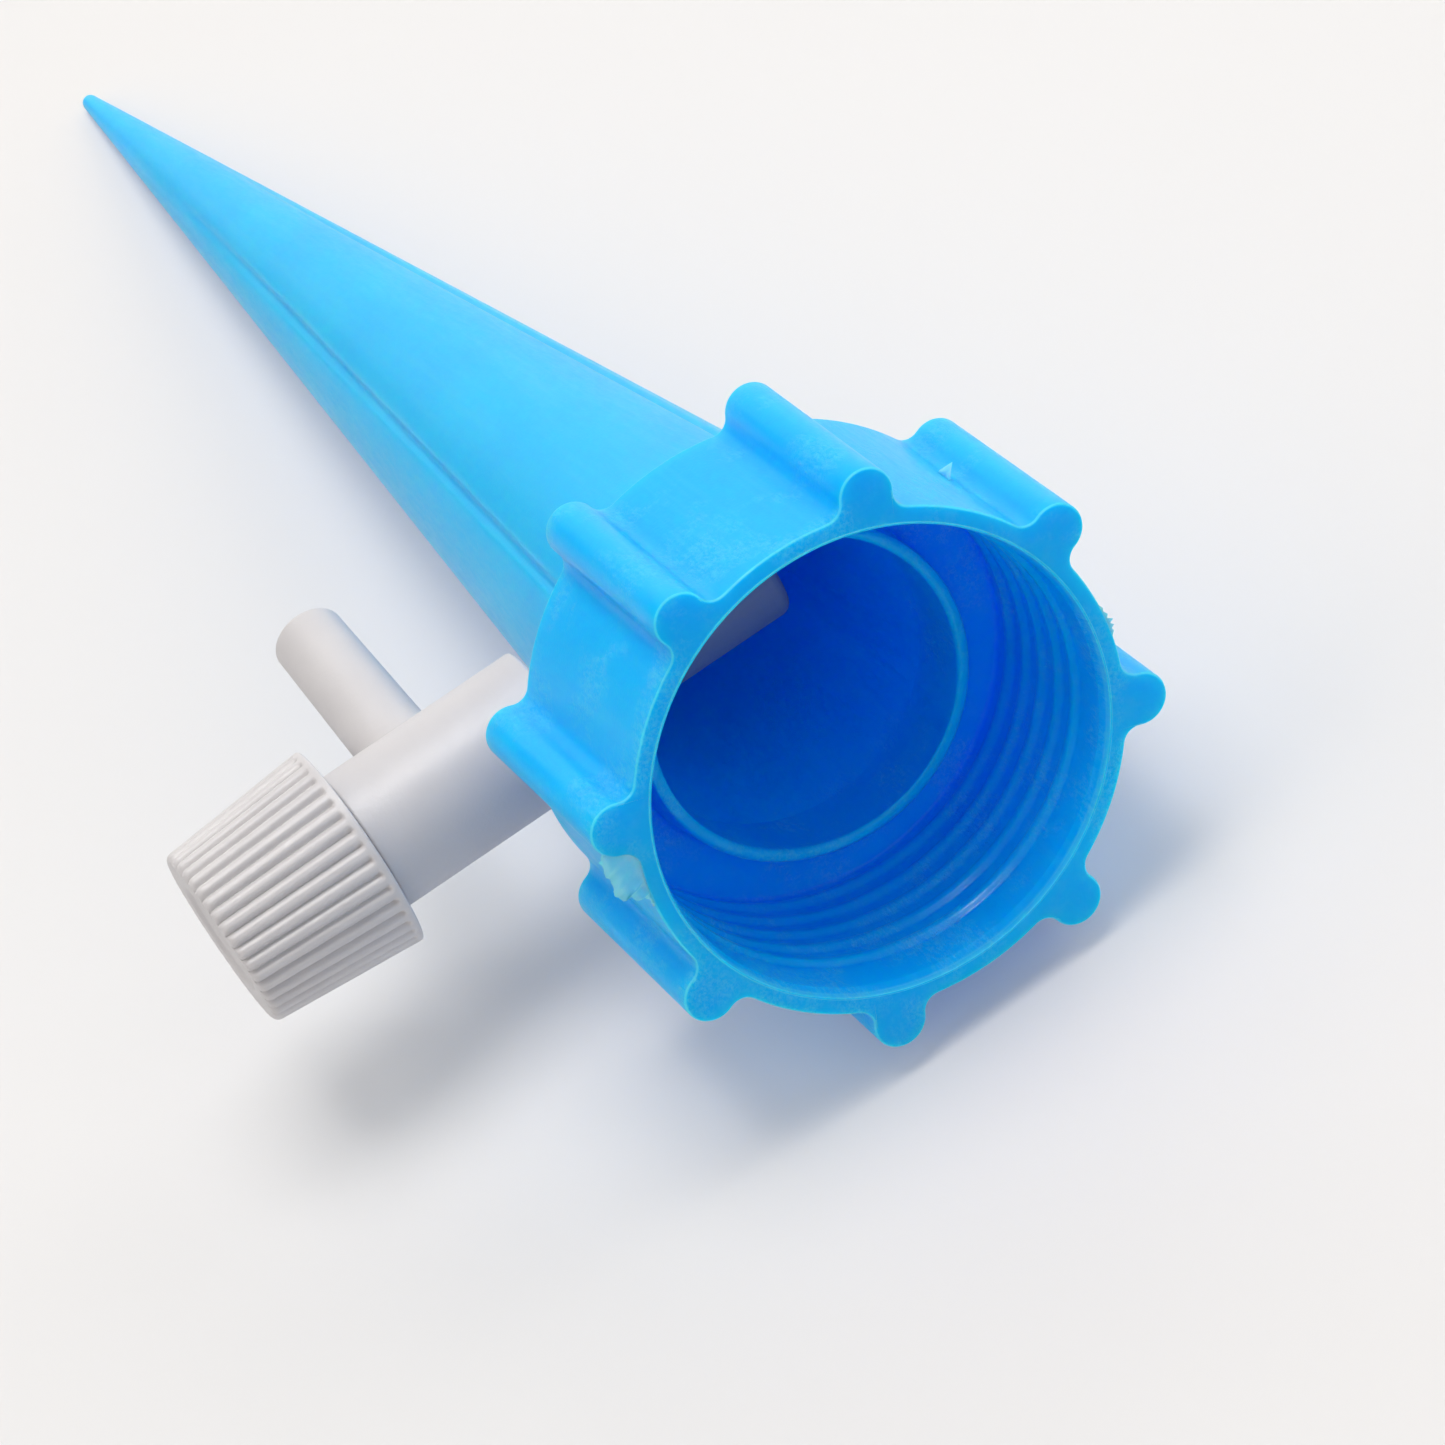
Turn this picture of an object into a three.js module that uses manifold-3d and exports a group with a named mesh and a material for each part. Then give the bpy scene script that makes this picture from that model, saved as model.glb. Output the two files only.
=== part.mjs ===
// Self-watering plant spike: a bottle-neck socket and hollow cone in one blue moulding, with a grey
// drip valve pushed through the cone's wall. The knob screws a needle in and out of the valve's seat.
//
// Millimetres. +X runs along the spike's axis, out of the socket's mouth; -Y runs along the valve's
// axis, out to the knob; +Z is up as the part lies on a table. Each piece is drawn with the centre of
// the socket's rim face at zero, and the assembly is then moved to put the origin under the middle of
// its bounds. A distance along the valve is measured from the spike's axis towards the knob.

import * as THREE from 'three';
import { mergeVertices } from 'three/addons/utils/BufferGeometryUtils.js';
import Module from 'manifold-3d';

const wasm = await Module();
wasm.setup();

// ---------------------------------------------------------------- driving dimensions

const SPIKE_LENGTH = 140;

const SOCKET_RADIUS = 15.05;
const SOCKET_LENGTH = 15.5;
const SOCKET_MOUTH_RADIUS = 14.0;
const SOCKET_BORE_RADIUS = 13.75;
const SOCKET_LEAD_IN = 0.8;
const SOCKET_DEPTH = 13.7;

const RIB_COUNT = 8;
const RIB_CENTRE_RADIUS = 16.0;
const RIB_HEAD_RADIUS = 1.6;
const RIB_FILLET_RADIUS = 1.0;

const THREAD_PITCH = 2.07;
const THREAD_TURNS = 5;
const THREAD_INNER_END = -12.9;
const THREAD_BEAD_RADIUS = 0.7;
const THREAD_CREST_RADIUS = 13.25;

const SEAL_LIP_OUTER_RADIUS = 10.4;
const SEAL_LIP_INNER_RADIUS = 9.6;
const SEAL_LIP_DEPTH = 10.4;
const SEAL_LIP_EDGE = 0.25;

const CONE_BASE_RADIUS = 10.85;
const CONE_WALL = 1.25;
const TIP_RADIUS = 0.6;
const HOLLOW_END_RADIUS = 0.6;
const GROOVE_COUNT = 4;
const GROOVE_WIDE = 0.45;
const GROOVE_NARROW = 0.15;
const GROOVE_LENGTH = 100;

const VALVE_X = -24.9;
const VALVE_HOLE_RADIUS = 3.0;

const INLET_START = -4.6;
const INLET_RADIUS = 2.7;
const INLET_BORE_RADIUS = 1.2;
const TUBE_START = 10.8;
const TUBE_RADIUS = 4.5;
const TUBE_END = 24.2;
const NECK_RADIUS = 4.1;
const NECK_END = 30.5;
const NECK_THREAD_PITCH = 1.0;
const NECK_THREAD_START = 25.1;
const NECK_THREAD_BEAD = 0.28;
const NECK_THREAD_TURNS = 4.2;
const SEAT_START = 14.3;
const SEAT_END = 15.4;
const CHAMBER_RADIUS = 2.4;

const NOZZLE_AT = 19.0;
const NOZZLE_LENGTH = 15.8;
const NOZZLE_ROOT_RADIUS = 2.5;
const NOZZLE_END_RADIUS = 2.25;
const NOZZLE_BORE_RADIUS = 1.1;
const NOZZLE_LIFT = THREE.MathUtils.degToRad(20);

const KNOB_START = 24.4;
const KNOB_END = 34.2;
const KNOB_BIG_RADIUS = 6.55;
const KNOB_SMALL_RADIUS = 5.75;
const KNOB_BAND = 0.4;
const KNOB_EDGE = 0.45;
const FLUTE_COUNT = 40;
const FLUTE_DEPTH = 0.36;
const KNOB_REST_TURN = THREE.MathUtils.degToRad(1.85);
const KNOB_BORE_RADIUS = 4.75;
const KNOB_BORE_END = 31.1;
const HEAD_POCKET_RADIUS = 2.2;
const HEAD_POCKET_START = 31.5;
const HEAD_POCKET_END = 32.9;
const HEAD_POCKET_LIP_RADIUS = 1.45;

const NEEDLE_POINT = 13.9;
const NEEDLE_POINT_RADIUS = 0.3;
const NEEDLE_SEAT_START = 15.0;
const NEEDLE_SEAT_END = 15.6;
const NEEDLE_SEAT_RADIUS = 1.5;
const NEEDLE_STEM_RADIUS = 1.1;
const NEEDLE_LAND_RADIUS = 1.8;
const NEEDLE_GROOVE_RADIUS = 0.75;
const NEEDLE_LAND_START = 22.4;
const NEEDLE_LAND_LENGTH = 0.8;
const NEEDLE_GROOVE_LENGTH = 1.6;
const NEEDLE_HEAD_RADIUS = 1.85;
const NEEDLE_HEAD_START = 31.85;
const NEEDLE_HEAD_END = 32.6;

const O_RING_RADIUS = 1.55;
const O_RING_SECTION = 0.5;

const ROUND_SIDES = 64;
const SMALL_SIDES = 36;

// ---------------------------------------------------------------- materials

const plastic = (color, roughness) => new THREE.MeshStandardMaterial({ color, roughness, metalness: 0 });
const bluePlastic = plastic(0x2ba6ec, 0.38);
const greyPlastic = plastic(0xd2d0d2, 0.55);
const needlePlastic = plastic(0xe6e4dc, 0.45);
const blackRubber = plastic(0x1c1c1e, 0.8);

// ---------------------------------------------------------------- solids

// A closed geometry as a solid: vertices shared, and triangles that collapse on an axis dropped.
function solid(geometry) {
  geometry.deleteAttribute('normal');
  geometry.deleteAttribute('uv');
  const merged = mergeVertices(geometry, 1e-4);
  const index = merged.index.array;
  const triangles = [];
  for (let i = 0; i < index.length; i += 3) {
    const [a, b, c] = [index[i], index[i + 1], index[i + 2]];
    if (a !== b && b !== c && c !== a) {
      triangles.push(a, b, c);
    }
  }
  const vertProperties = new Float32Array(merged.attributes.position.array);
  const triVerts = new Uint32Array(triangles);
  return new wasm.Manifold(new wasm.Mesh({ numProp: 3, vertProperties, triVerts }));
}

// A profile of [radius, height] points turned about Y. It starts and ends on the axis or closes, and
// goes anticlockwise in the (radius, height) plane, so the faces point out.
function turned(profile, sides) {
  const points = profile.map(([radius, height]) => new THREE.Vector2(radius, height));
  return new THREE.LatheGeometry(points, sides);
}

// A profile of [radius, x] points turned about the spike's axis.
function turnedAboutSpike(profile, sides = ROUND_SIDES) {
  return turned(profile, sides).rotateZ(-Math.PI / 2);
}

// A profile of [radius, distance] points turned about the valve's axis.
function turnedAboutValve(profile, sides = SMALL_SIDES) {
  return turned(profile, sides).rotateX(Math.PI).translate(VALVE_X, 0, 0);
}

// A thread's path: a right-handed helix about X, from startX at startAngle, that moves outwards or
// inwards by endShift at both ends.
class ThreadPath extends THREE.Curve {
  constructor(radius, pitch, turns, startX, startAngle, endShift) {
    super();
    Object.assign(this, { radius, pitch, turns, startX, startAngle, endShift });
  }

  getPoint(t, target = new THREE.Vector3()) {
    const turn = this.turns * t;
    const toEnd = Math.min(turn, this.turns - turn);
    const fade = Math.max(0, 1 - toEnd / 0.2);
    const radius = this.radius + this.endShift * fade;
    const angle = this.startAngle + 2 * Math.PI * turn;
    return target.set(this.startX + this.pitch * turn, radius * Math.cos(angle), radius * Math.sin(angle));
  }
}

function threadBead(path, beadRadius, beadSides, stepsPerTurn) {
  const section = new THREE.Shape();
  for (let i = 0; i < beadSides; i += 1) {
    const angle = (2 * Math.PI * (i + 0.5)) / beadSides;
    const point = [beadRadius * Math.cos(angle), beadRadius * Math.sin(angle)];
    if (i === 0) {
      section.moveTo(...point);
    } else {
      section.lineTo(...point);
    }
  }
  const steps = Math.round(path.turns * stepsPerTurn);
  return new THREE.ExtrudeGeometry(section, { steps, extrudePath: path });
}

// ---------------------------------------------------------------- spike body

const coneTaper = (CONE_BASE_RADIUS - TIP_RADIUS) / (SPIKE_LENGTH - SOCKET_LENGTH - TIP_RADIUS);

function coneRadius(x) {
  return CONE_BASE_RADIUS + coneTaper * (x + SOCKET_LENGTH);
}

// The socket's outline across its axis: a circle with round-headed ribs, filleted at their roots.
function ribbedOutline() {
  const filletRadius = SOCKET_RADIUS + RIB_FILLET_RADIUS;
  const reach = RIB_HEAD_RADIUS + RIB_FILLET_RADIUS;
  const cosine = (filletRadius ** 2 + RIB_CENTRE_RADIUS ** 2 - reach ** 2) / (2 * filletRadius * RIB_CENTRE_RADIUS);
  const filletAngle = Math.acos(cosine);
  const outline = new THREE.Shape();
  for (let i = 0; i < RIB_COUNT; i += 1) {
    const middle = (2 * Math.PI * (i + 0.5)) / RIB_COUNT;
    const rib = [RIB_CENTRE_RADIUS * Math.cos(middle), RIB_CENTRE_RADIUS * Math.sin(middle)];
    const [before, after] = [middle - filletAngle, middle + filletAngle];
    const filletBefore = [filletRadius * Math.cos(before), filletRadius * Math.sin(before)];
    const filletAfter = [filletRadius * Math.cos(after), filletRadius * Math.sin(after)];
    const headStart = Math.atan2(filletBefore[1] - rib[1], filletBefore[0] - rib[0]);
    const headEnd = Math.atan2(filletAfter[1] - rib[1], filletAfter[0] - rib[0]);
    const lastMiddle = middle - (2 * Math.PI) / RIB_COUNT;
    outline.absarc(0, 0, SOCKET_RADIUS, lastMiddle + filletAngle, before, false);
    outline.absarc(...filletBefore, RIB_FILLET_RADIUS, before + Math.PI, headStart + Math.PI, true);
    outline.absarc(...rib, RIB_HEAD_RADIUS, headStart, headEnd, false);
    outline.absarc(...filletAfter, RIB_FILLET_RADIUS, headEnd + Math.PI, after + Math.PI, true);
  }
  return outline;
}

function socketOutside() {
  const settings = { depth: SOCKET_LENGTH, bevelEnabled: false, curveSegments: 5 };
  const geometry = new THREE.ExtrudeGeometry(ribbedOutline(), settings);
  const acrossAxis = new THREE.Matrix4().makeBasis(
    new THREE.Vector3(0, 1, 0),
    new THREE.Vector3(0, 0, 1),
    new THREE.Vector3(1, 0, 0),
  );
  return solid(geometry.applyMatrix4(acrossAxis).translate(-SOCKET_LENGTH, 0, 0));
}

function coneOutside() {
  const inSocket = -SOCKET_LENGTH + 0.5;
  const tipCentre = -SPIKE_LENGTH + TIP_RADIUS;
  const profile = [[0, -SPIKE_LENGTH]];
  for (const angle of [30, 60, 90]) {
    const turn = THREE.MathUtils.degToRad(angle);
    profile.push([TIP_RADIUS * Math.sin(turn), tipCentre - TIP_RADIUS * Math.cos(turn)]);
  }
  profile.push([coneRadius(inSocket), inSocket], [0, inSocket]);
  return solid(turnedAboutSpike(profile));
}

// Long shallow creases down the cone, halfway between the four faces that the valve squares up to.
function creaseCutter(index) {
  const angle = (2 * Math.PI * (index + 0.5)) / GROOVE_COUNT;
  const start = -SOCKET_LENGTH + 0.5;
  const end = start - GROOVE_LENGTH;
  const tilt = Math.atan(coneTaper);
  const middle = (start + end) / 2;
  const length = GROOVE_LENGTH / Math.cos(tilt);
  const bar = new THREE.CylinderGeometry(GROOVE_WIDE, GROOVE_NARROW, length, 4);
  bar.rotateZ(-Math.PI / 2 + tilt).translate(middle, coneRadius(middle), 0).rotateX(angle);
  return solid(bar);
}

// Everything hollow inside: lead-in, threaded bore, the moat round the seal lip, and the cone's bore.
function spikeHollow() {
  const hollowEnd = -SOCKET_LENGTH - (CONE_BASE_RADIUS - CONE_WALL - HOLLOW_END_RADIUS) / coneTaper;
  const profile = [
    [0, hollowEnd],
    [HOLLOW_END_RADIUS, hollowEnd],
    [coneRadius(-SOCKET_LENGTH) - CONE_WALL, -SOCKET_LENGTH],
    [SEAL_LIP_INNER_RADIUS, -SEAL_LIP_DEPTH - SEAL_LIP_EDGE],
    [SEAL_LIP_INNER_RADIUS + SEAL_LIP_EDGE, -SEAL_LIP_DEPTH],
    [SEAL_LIP_OUTER_RADIUS - SEAL_LIP_EDGE, -SEAL_LIP_DEPTH],
    [SEAL_LIP_OUTER_RADIUS, -SEAL_LIP_DEPTH - SEAL_LIP_EDGE],
    [SEAL_LIP_OUTER_RADIUS, -SOCKET_DEPTH],
    [SOCKET_BORE_RADIUS, -SOCKET_DEPTH],
    [SOCKET_BORE_RADIUS, -SOCKET_LEAD_IN],
    [SOCKET_MOUTH_RADIUS, 0],
    [SOCKET_MOUTH_RADIUS, 1],
    [0, 1],
  ];
  return solid(turnedAboutSpike(profile));
}

function socketThread() {
  const centre = THREAD_CREST_RADIUS + THREAD_BEAD_RADIUS;
  const sink = THREAD_BEAD_RADIUS - 0.1;
  const path = new ThreadPath(centre, THREAD_PITCH, THREAD_TURNS, THREAD_INNER_END, Math.PI, sink);
  return solid(threadBead(path, THREAD_BEAD_RADIUS, 8, 28));
}

function spikeBody() {
  let cone = coneOutside();
  for (let i = 0; i < GROOVE_COUNT; i += 1) {
    cone = cone.subtract(creaseCutter(i));
  }
  const hole = new THREE.CylinderGeometry(VALVE_HOLE_RADIUS, VALVE_HOLE_RADIUS, 12, SMALL_SIDES);
  hole.translate(VALVE_X, -8, 0);
  return socketOutside().add(cone).subtract(spikeHollow()).add(socketThread()).subtract(solid(hole));
}

// ---------------------------------------------------------------- valve body

function neckThread() {
  const sink = -NECK_THREAD_BEAD;
  const path = new ThreadPath(NECK_RADIUS, NECK_THREAD_PITCH, NECK_THREAD_TURNS, NECK_THREAD_START, 0, sink);
  const bead = threadBead(path, NECK_THREAD_BEAD, 6, 20);
  return solid(bead.rotateZ(-Math.PI / 2).translate(VALVE_X, 0, 0));
}

// A round bar of the nozzle, from the valve's axis out to a length, tapering between two radii.
function nozzleBar(rootRadius, endRadius, length) {
  const bar = new THREE.CylinderGeometry(endRadius, rootRadius, length, SMALL_SIDES);
  bar.translate(0, length / 2, 0).rotateZ(Math.PI / 2).rotateY(NOZZLE_LIFT);
  return solid(bar.translate(VALVE_X, -NOZZLE_AT, 0));
}

function valveBody() {
  const edge = 0.4;
  const outside = turnedAboutValve([
    [0, INLET_START],
    [INLET_RADIUS - edge, INLET_START],
    [INLET_RADIUS, INLET_START + edge],
    [INLET_RADIUS, TUBE_START],
    [TUBE_RADIUS, TUBE_START],
    [TUBE_RADIUS, TUBE_END],
    [NECK_RADIUS, TUBE_END + 0.3],
    [NECK_RADIUS, NECK_END - 0.3],
    [NECK_RADIUS - 0.3, NECK_END],
    [0, NECK_END],
  ]);
  const waterway = turnedAboutValve([
    [0, INLET_START - 1],
    [INLET_BORE_RADIUS, INLET_START - 1],
    [INLET_BORE_RADIUS, SEAT_START],
    [CHAMBER_RADIUS, SEAT_END],
    [CHAMBER_RADIUS, NECK_END + 1],
    [0, NECK_END + 1],
  ]);
  const nozzle = nozzleBar(NOZZLE_ROOT_RADIUS, NOZZLE_END_RADIUS, NOZZLE_LENGTH);
  const outlet = nozzleBar(NOZZLE_BORE_RADIUS, NOZZLE_BORE_RADIUS, NOZZLE_LENGTH + 1);
  return solid(outside).add(neckThread()).add(nozzle).subtract(solid(waterway)).subtract(outlet);
}

// ---------------------------------------------------------------- needle and seal

const secondLand = NEEDLE_LAND_START + NEEDLE_LAND_LENGTH + NEEDLE_GROOVE_LENGTH;

function valveNeedle() {
  return solid(turnedAboutValve([
    [0, NEEDLE_POINT],
    [NEEDLE_POINT_RADIUS, NEEDLE_POINT],
    [NEEDLE_SEAT_RADIUS, NEEDLE_SEAT_START],
    [NEEDLE_SEAT_RADIUS, NEEDLE_SEAT_END],
    [NEEDLE_STEM_RADIUS, NEEDLE_SEAT_END + 0.4],
    [NEEDLE_STEM_RADIUS, NEEDLE_LAND_START],
    [NEEDLE_LAND_RADIUS, NEEDLE_LAND_START],
    [NEEDLE_LAND_RADIUS, NEEDLE_LAND_START + NEEDLE_LAND_LENGTH],
    [NEEDLE_GROOVE_RADIUS, NEEDLE_LAND_START + NEEDLE_LAND_LENGTH],
    [NEEDLE_GROOVE_RADIUS, secondLand],
    [NEEDLE_LAND_RADIUS, secondLand],
    [NEEDLE_LAND_RADIUS, secondLand + NEEDLE_LAND_LENGTH],
    [NEEDLE_STEM_RADIUS, secondLand + NEEDLE_LAND_LENGTH],
    [NEEDLE_STEM_RADIUS, NEEDLE_HEAD_START],
    [NEEDLE_HEAD_RADIUS, NEEDLE_HEAD_START],
    [NEEDLE_HEAD_RADIUS - 0.2, NEEDLE_HEAD_END],
    [0, NEEDLE_HEAD_END],
  ], 28));
}

function stemORing() {
  const centre = secondLand - NEEDLE_GROOVE_LENGTH / 2;
  const ring = new THREE.TorusGeometry(O_RING_RADIUS, O_RING_SECTION, 10, 28);
  return solid(ring.rotateX(Math.PI / 2).translate(VALVE_X, -centre, 0));
}

// ---------------------------------------------------------------- control knob

// How deep the flutes bite at an angle round the knob, from 0 on a ridge to 1 in a groove.
function fluteDepth(angle) {
  return (1 - Math.cos(FLUTE_COUNT * angle)) / 2;
}

function knobOutside() {
  const fluteStart = KNOB_START + KNOB_BAND;
  const fluteEnd = KNOB_END - KNOB_EDGE;
  const profile = turned([
    [0, KNOB_START],
    [KNOB_BIG_RADIUS, KNOB_START],
    [KNOB_BIG_RADIUS, fluteStart],
    [KNOB_BIG_RADIUS - 0.05, fluteStart + 0.25],
    [KNOB_SMALL_RADIUS, fluteEnd],
    [KNOB_SMALL_RADIUS - KNOB_EDGE, KNOB_END],
    [0, KNOB_END],
  ], FLUTE_COUNT * 4);
  const position = profile.attributes.position;
  for (let i = 0; i < position.count; i += 1) {
    const [x, height, z] = [position.getX(i), position.getY(i), position.getZ(i)];
    const fluted = height > fluteStart + 0.1 && height < KNOB_END - 0.1;
    if (fluted) {
      const radius = Math.hypot(x, z);
      const scale = (radius - FLUTE_DEPTH * fluteDepth(Math.atan2(z, x))) / radius;
      position.setXYZ(i, x * scale, height, z * scale);
    }
  }
  return solid(profile.rotateX(Math.PI).rotateY(KNOB_REST_TURN).translate(VALVE_X, 0, 0));
}

function controlKnob() {
  const inside = turnedAboutValve([
    [0, KNOB_START - 1],
    [KNOB_BORE_RADIUS + 0.3, KNOB_START - 1],
    [KNOB_BORE_RADIUS + 0.3, KNOB_START],
    [KNOB_BORE_RADIUS, KNOB_START + 0.3],
    [KNOB_BORE_RADIUS, KNOB_BORE_END],
    [HEAD_POCKET_LIP_RADIUS, KNOB_BORE_END],
    [HEAD_POCKET_LIP_RADIUS, HEAD_POCKET_START],
    [HEAD_POCKET_RADIUS, HEAD_POCKET_START],
    [HEAD_POCKET_RADIUS, HEAD_POCKET_END],
    [0, HEAD_POCKET_END],
  ]);
  return knobOutside().subtract(solid(inside));
}

// ---------------------------------------------------------------- assembly

function namedMesh(name, manifold, material) {
  const { vertProperties, triVerts } = manifold.getMesh();
  const geometry = new THREE.BufferGeometry();
  geometry.setAttribute('position', new THREE.BufferAttribute(new Float32Array(vertProperties), 3));
  geometry.setIndex(new THREE.BufferAttribute(new Uint32Array(triVerts), 1));
  geometry.computeVertexNormals();
  const mesh = new THREE.Mesh(geometry, material);
  mesh.name = name;
  return mesh;
}

const group = new THREE.Group();
group.add(namedMesh('spike_body', spikeBody(), bluePlastic));
group.add(namedMesh('valve_body', valveBody(), greyPlastic));
group.add(namedMesh('valve_needle', valveNeedle(), needlePlastic));
group.add(namedMesh('stem_o_ring', stemORing(), blackRubber));
group.add(namedMesh('control_knob', controlKnob(), greyPlastic));

const bounds = new THREE.Box3().setFromObject(group);
const middle = bounds.getCenter(new THREE.Vector3());
group.position.set(-middle.x, -middle.y, -bounds.min.z);

export default group;
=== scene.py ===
import math

import bmesh
import bpy
import numpy as np
from mathutils import Matrix, Vector


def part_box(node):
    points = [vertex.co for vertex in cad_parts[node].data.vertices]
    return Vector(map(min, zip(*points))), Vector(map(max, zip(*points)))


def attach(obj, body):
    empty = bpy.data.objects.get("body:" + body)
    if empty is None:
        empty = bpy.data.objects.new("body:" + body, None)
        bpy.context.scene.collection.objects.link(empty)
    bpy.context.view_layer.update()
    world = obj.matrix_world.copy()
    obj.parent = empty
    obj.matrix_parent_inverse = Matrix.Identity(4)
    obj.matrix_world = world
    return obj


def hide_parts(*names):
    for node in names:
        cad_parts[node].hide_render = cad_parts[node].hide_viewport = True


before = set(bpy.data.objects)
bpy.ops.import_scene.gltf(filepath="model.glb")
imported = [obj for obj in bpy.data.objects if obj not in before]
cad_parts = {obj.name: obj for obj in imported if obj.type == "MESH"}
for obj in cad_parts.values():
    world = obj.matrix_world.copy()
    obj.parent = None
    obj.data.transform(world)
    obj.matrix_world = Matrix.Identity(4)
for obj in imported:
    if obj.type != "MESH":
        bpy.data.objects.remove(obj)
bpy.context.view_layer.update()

# ---------------------------------------------------------------- where things are

# Shapes are drawn in millimetres from the centre of the socket's rim face: x along the spike's axis
# out of the socket's mouth, z up, and the valve out along -y. Angles round the spike go from +y to +z.
MM = 0.001
spike_low, spike_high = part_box("spike_body")
RIM_CENTRE = np.array([spike_high.x, (spike_low.y + spike_high.y) / 2, (spike_low.z + spike_high.z) / 2])
knob_low, knob_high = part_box("control_knob")
VALVE_X = ((knob_low.x + knob_high.x) / 2 - RIM_CENTRE[0]) / MM


def row_point(point):
    """A point in millimetres from the rim's centre, in metres in the row's frame."""
    return RIM_CENTRE + MM * np.asarray(point, float)


# ---------------------------------------------------------------- dimensions, in millimetres

SPIKE_LENGTH = 140.0
TIP_RADIUS = 0.6
CONE_BASE_RADIUS = 10.85
HOLLOW_END_RADIUS = 0.6
HOLLOW_END = -124.0
HOLLOW_STEPS = 30
CONE_STEPS = 64

SOCKET_LENGTH = 15.5
CONE_TAPER = (CONE_BASE_RADIUS - TIP_RADIUS) / (SPIKE_LENGTH - SOCKET_LENGTH - TIP_RADIUS)
SOCKET_RADIUS = 15.05
SOCKET_EDGE = 0.16
MOUTH_RADIUS = 14.0
BORE_RADIUS = 13.75
SOCKET_DEPTH = 13.7
LIP_OUTER_RADIUS = 10.4
LIP_INNER_RADIUS = 9.6
LIP_DEPTH = 10.4

RIB_COUNT = 8
RIB_CENTRE_RADIUS = 16.0
RIB_HEAD_RADIUS = 1.6
RIB_FILLET_RADIUS = 1.0

THREAD_PITCH = 2.07
THREAD_ORIGIN = -13.95
THREAD_FIRST_TURN = 0.5
THREAD_LAST_TURN = 5.55
THREAD_HEIGHT = 0.32
THREAD_TOP = -1.1
THREAD_FLOOR = -13.3
THREAD_STEPS = 104

CREASE_COUNT = 4
CREASE_DEPTH = 0.28
CREASE_HALF_WIDTH = 0.4
CREASE_END = -121.0

COLUMNS = 336
WALL_STEPS = 18
FILLET_STEPS = 7
HEAD_STEPS = 26
SOCKET_BACK_X = RIM_CENTRE[0] - SOCKET_LENGTH * MM


# ---------------------------------------------------------------- mesh tools


class Skin:
    """A closed surface gathered loop by loop, in millimetres from the rim's centre."""

    def __init__(self):
        self.points = []
        self.faces = []

    def loop(self, points):
        first = len(self.points)
        self.points.extend(np.asarray(points, float).tolist())
        return list(range(first, len(self.points)))

    def band(self, a, b):
        """Quads between two loops with the same number of points."""
        count = len(a)
        for i in range(count):
            j = (i + 1) % count
            self.faces.append((a[i], a[j], b[j], b[i]))

    def bands(self, loops):
        for a, b in zip(loops, loops[1:]):
            self.band(a, b)

    def stitch(self, a, b, turns_a, turns_b):
        """Triangles between two loops of different counts.

        turns_a and turns_b say how far round each point is, from 0 to 1.
        """
        i = j = 0
        while i < len(a) or j < len(b):
            next_a = turns_a[i + 1] if i + 1 < len(a) else 1.0
            next_b = turns_b[j + 1] if j + 1 < len(b) else 1.0
            at_a, at_b = a[i % len(a)], b[j % len(b)]
            if j >= len(b) or (i < len(a) and next_a <= next_b):
                self.faces.append((at_a, a[(i + 1) % len(a)], at_b))
                i += 1
            else:
                self.faces.append((at_a, b[(j + 1) % len(b)], at_b))
                j += 1

    def cap(self, loop, point):
        """A fan from a loop to one point."""
        tip = self.loop([point])[0]
        count = len(loop)
        for i in range(count):
            self.faces.append((loop[i], loop[(i + 1) % count], tip))


def rounded(corners, steps=4):
    """A profile through corners of (radius, distance, edge radius), with each edge rounded."""
    flat = [np.array(corner[:2], float) for corner in corners]
    profile = []
    for i, corner in enumerate(corners):
        edge = corner[2] if len(corner) > 2 else 0
        if not edge or i in (0, len(corners) - 1):
            profile.append(flat[i])
            continue
        before = flat[i - 1] - flat[i]
        after = flat[i + 1] - flat[i]
        before /= np.linalg.norm(before)
        after /= np.linalg.norm(after)
        half = math.acos(np.clip(before @ after, -1, 1)) / 2
        middle = (before + after) / np.linalg.norm(before + after)
        centre = flat[i] + middle * edge / math.sin(half)
        start = flat[i] + before * edge / math.tan(half) - centre
        side = math.copysign(1, before[1] * after[0] - before[0] * after[1])
        for step in range(steps + 1):
            angle = side * (math.pi - 2 * half) * step / steps
            cosine, sine = math.cos(angle), math.sin(angle)
            turned = (cosine * start[0] - sine * start[1], sine * start[0] + cosine * start[1])
            profile.append(centre + turned)
    return [(float(p[0]), float(p[1])) for p in profile]


def about_spike(radius, x, angles):
    """A loop round the spike's axis. radius and x may differ from angle to angle."""
    radius = np.broadcast_to(radius, angles.shape)
    x = np.broadcast_to(x, angles.shape)
    return np.stack([x, radius * np.cos(angles), radius * np.sin(angles)], -1)


def about_valve(radius, distance, angles):
    """A loop round the valve's axis, at a distance out from the spike's axis."""
    radius = np.broadcast_to(radius, angles.shape)
    distance = np.broadcast_to(distance, angles.shape)
    return np.stack([VALVE_X + radius * np.cos(angles), -distance, radius * np.sin(angles)], -1)


def smooth_step(value):
    value = np.clip(value, 0, 1)
    return value * value * (3 - 2 * value)


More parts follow.
